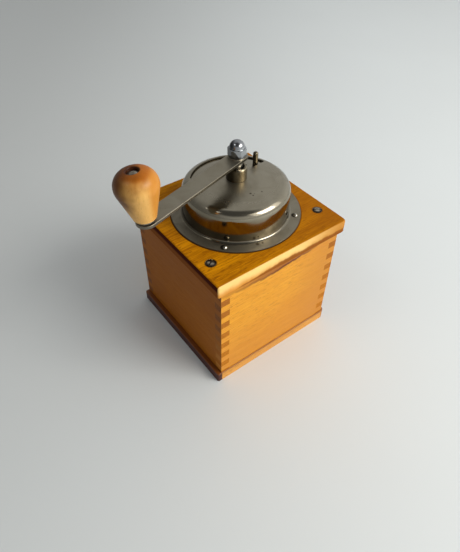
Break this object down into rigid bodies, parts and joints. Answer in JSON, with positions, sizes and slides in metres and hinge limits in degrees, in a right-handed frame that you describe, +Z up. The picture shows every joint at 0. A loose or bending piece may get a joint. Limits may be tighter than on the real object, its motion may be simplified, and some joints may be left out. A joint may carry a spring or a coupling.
{
  "type": "hand crank coffee grinder",
  "caption": "Hand crank coffee grinder: finger-jointed wooden box with a drawer, domed steel hopper with a sliding shutter, flat crank arm and turned wooden knob.",
  "frame": {"origin": "centre of the base board's underside, on the crank shaft's axis", "axes": "+Z up along the crank shaft, -Y out of the drawer's front, +X to the right seen from the drawer's front"},
  "size_m": [0.1729, 0.1395, 0.2053],
  "materials": {
    "beech_board": "golden amber varnished beech, fine long grain",
    "beech_panel": "golden amber varnished beech, finger joints showing end grain",
    "plain_wood": "unvarnished beech, planed",
    "plywood": "thin plywood, unvarnished",
    "turned_beech": "turned beech, worn varnish",
    "nickelled_steel": "aged satin nickel with small rust pits",
    "arm_steel": "aged nickelled flat bar with bright worn edges",
    "chrome": "bright, polished",
    "dark_steel": "darkened steel screws",
    "cast_iron": "grey casting",
    "burr_steel": "hardened steel, ground",
    "shaft_steel": "turned steel",
    "brass": "turned and knurled"
  },
  "bodies": {
    "case": {"base_board": "beech_board", "base_screws": "dark_steel", "front_panel": "beech_panel", "back_panel": "beech_panel", "left_panel": "beech_panel", "right_panel": "beech_panel", "left_runner": "plain_wood", "right_runner": "plain_wood", "left_kicker": "plain_wood", "right_kicker": "plain_wood", "top_board": "beech_board", "top_screws": "dark_steel", "dome_cover": "nickelled_steel", "flange_pins": "nickelled_steel", "bearing_collar": "nickelled_steel", "collar_ring": "dark_steel", "mill_housing": "cast_iron", "housing_screws": "dark_steel", "outer_burr": "burr_steel", "lower_bridge": "cast_iron", "bridge_screws": "dark_steel", "pressure_spring": "shaft_steel"},
    "lift": {"thrust_disc": "burr_steel"},
    "crank": {"crank_shaft": "shaft_steel", "crank_arm": "arm_steel", "arm_washer": "shaft_steel", "cap_nut": "chrome", "inner_burr": "burr_steel", "burr_pin": "burr_steel", "spring_seat": "shaft_steel", "handle_washer": "shaft_steel", "handle_spindle": "shaft_steel", "end_washer": "dark_steel"},
    "handle": {"handle_knob": "turned_beech"},
    "adjuster": {"grind_adjuster": "brass"},
    "shutter": {"shutter": "nickelled_steel", "shutter_pin": "nickelled_steel"},
    "drawer": {"drawer_front": "beech_panel", "drawer_left_side": "plain_wood", "drawer_right_side": "plain_wood", "drawer_back": "plain_wood", "drawer_bottom": "plywood", "drawer_knob": "turned_beech", "drawer_knob_screw": "dark_steel"}
  },
  "joints": [
    {"name": "grind_lift", "type": "slide", "parent": "case", "child": "lift", "axis": [0, 0, 1], "range_m": [-0.0005, 0.0005], "deforming": ["pressure_spring"]},
    {"name": "crank_turn", "type": "hinge", "parent": "lift", "child": "crank", "pos_m": [0, 0, 0], "axis": [0, 0, 1], "continuous": true},
    {"name": "knob_spin", "type": "hinge", "parent": "crank", "child": "handle", "pos_m": [0.0924, 0.0262, 0.1686], "axis": [0.0854, -0.0717, 0.9938], "continuous": true},
    {"name": "grind_adjust", "type": "hinge", "parent": "lift", "child": "adjuster", "pos_m": [0, 0, 0.062], "axis": [0, 0, 1], "range_deg": [-180, 180]},
    {"name": "shutter_turn", "type": "hinge", "parent": "case", "child": "shutter", "pos_m": [0, 0, 0.148], "axis": [0, 0, 1], "range_deg": [0, 112]},
    {"name": "drawer_slide", "type": "slide", "parent": "case", "child": "drawer", "axis": [0, -1, 0], "range_m": [0, 0.08]}
  ],
  "couplings": [
    {"joint": "grind_adjust", "follows": "grind_lift", "rad_per_m": 6283.2}
  ]
}
